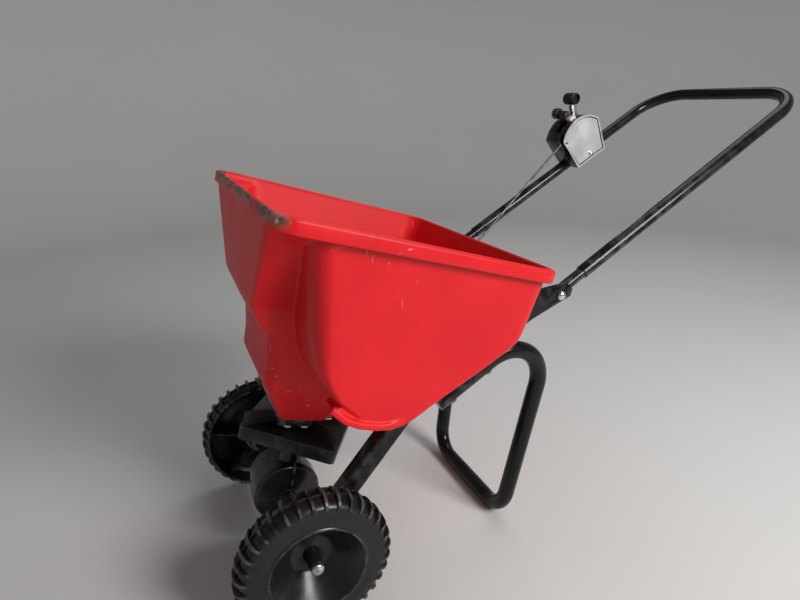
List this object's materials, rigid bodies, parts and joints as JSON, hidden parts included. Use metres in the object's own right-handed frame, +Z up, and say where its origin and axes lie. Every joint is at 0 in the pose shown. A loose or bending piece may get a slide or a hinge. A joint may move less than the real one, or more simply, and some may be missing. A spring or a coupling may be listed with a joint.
{
  "type": "garden spreader",
  "caption": "Walk-behind rotary garden spreader: red moulded hopper on a tubular frame with lugged wheels, gearbox, spinning impeller, U handle and lever-worked shut-off gate.",
  "frame": {"origin": "centre of the footprint at floor level, standing on both wheels and the stand", "axes": "+X along the axle to the operator's left, +Y rearwards to the handle, +Z up"},
  "size_m": [0.4416, 0.9598, 0.6807],
  "materials": {
    "red_poly": "satin moulded polyethylene",
    "black_plastic": "satin moulded plastic",
    "gloss_plastic": "glossy moulded plastic",
    "black_paint": "semi-gloss powder coat",
    "zinc_steel": "bright zinc plate",
    "grey_steel": "satin",
    "pale_nylon": "satin"
  },
  "bodies": {
    "frame": {"hopper": "red_poly", "handle": "black_paint", "stand": "black_paint", "gearbox_front": "black_plastic", "gearbox_rear": "black_plastic", "control_base": "gloss_plastic", "control_cover": "gloss_plastic", "cover_screw": "zinc_steel", "lever_pin": "grey_steel", "side_rail_left": "black_paint", "axle_bush_left": "black_plastic", "hopper_bracket_left": "black_paint", "bracket_bolt_left": "zinc_steel", "bracket_nut_left": "zinc_steel", "stand_bolt_front_left": "zinc_steel", "stand_bolt_rear_left": "zinc_steel", "gate_guide_left": "black_plastic", "guide_bolt_front_left": "zinc_steel", "guide_bolt_rear_left": "zinc_steel", "side_rail_right": "black_paint", "axle_bush_right": "black_plastic", "hopper_bracket_right": "black_paint", "bracket_bolt_right": "zinc_steel", "bracket_nut_right": "zinc_steel", "stand_bolt_front_right": "zinc_steel", "stand_bolt_rear_right": "zinc_steel", "gate_guide_right": "black_plastic", "guide_bolt_front_right": "zinc_steel", "guide_bolt_rear_right": "zinc_steel"},
    "drive_axle": {"axle": "grey_steel", "wheel_left": "black_plastic", "axle_nut_left": "zinc_steel", "axle_nut_right": "zinc_steel", "ring_gear": "pale_nylon"},
    "free_wheel": {"wheel_right": "black_plastic"},
    "spinner": {"shaft": "grey_steel", "pinion": "pale_nylon", "impeller": "black_plastic", "agitator": "zinc_steel"},
    "lever": {"lever": "zinc_steel", "lever_knob": "black_plastic"},
    "rate_stop": {"rate_stop": "black_plastic", "rate_stop_knob": "black_plastic", "rate_pointer": "pale_nylon"},
    "gate": {"gate": "grey_steel"},
    "rod": {"control_rod": "grey_steel"}
  },
  "joints": [
    {"name": "drive_wheel_roll", "type": "hinge", "parent": "frame", "child": "drive_axle", "pos_m": [0, -0.3759, 0.104], "axis": [1, 0, 0], "continuous": true},
    {"name": "free_wheel_roll", "type": "hinge", "parent": "frame", "child": "free_wheel", "pos_m": [-0.1675, -0.3759, 0.104], "axis": [1, 0, 0], "continuous": true},
    {"name": "spinner_turn", "type": "hinge", "parent": "frame", "child": "spinner", "pos_m": [0, -0.3759, 0.104], "axis": [0, 0.294, 0.9558], "continuous": true},
    {"name": "lever_swing", "type": "hinge", "parent": "frame", "child": "lever", "pos_m": [-0.13, 0.26136, 0.58383], "axis": [1, 0, 0], "range_deg": [-20, 7]},
    {"name": "rate_stop_swing", "type": "hinge", "parent": "frame", "child": "rate_stop", "pos_m": [-0.14, 0.26136, 0.58383], "axis": [1, 0, 0], "range_deg": [0, 24]},
    {"name": "gate_slide", "type": "slide", "parent": "frame", "child": "gate", "axis": [0, 0.9558, -0.294], "range_m": [-0.0096, 0.0272]},
    {"name": "rod_swing", "type": "hinge", "parent": "gate", "child": "rod", "pos_m": [-0.102, -0.1909, 0.20884], "axis": [1, 0, 0], "range_deg": [-0.85, 2.35]}
  ],
  "couplings": [
    {"joint": "spinner_turn", "follows": "drive_wheel_roll", "ratio": -3},
    {"joint": "gate_slide", "follows": "lever_swing", "m_per_rad": -0.0777},
    {"joint": "rod_swing", "follows": "lever_swing", "ratio": -0.1153}
  ]
}
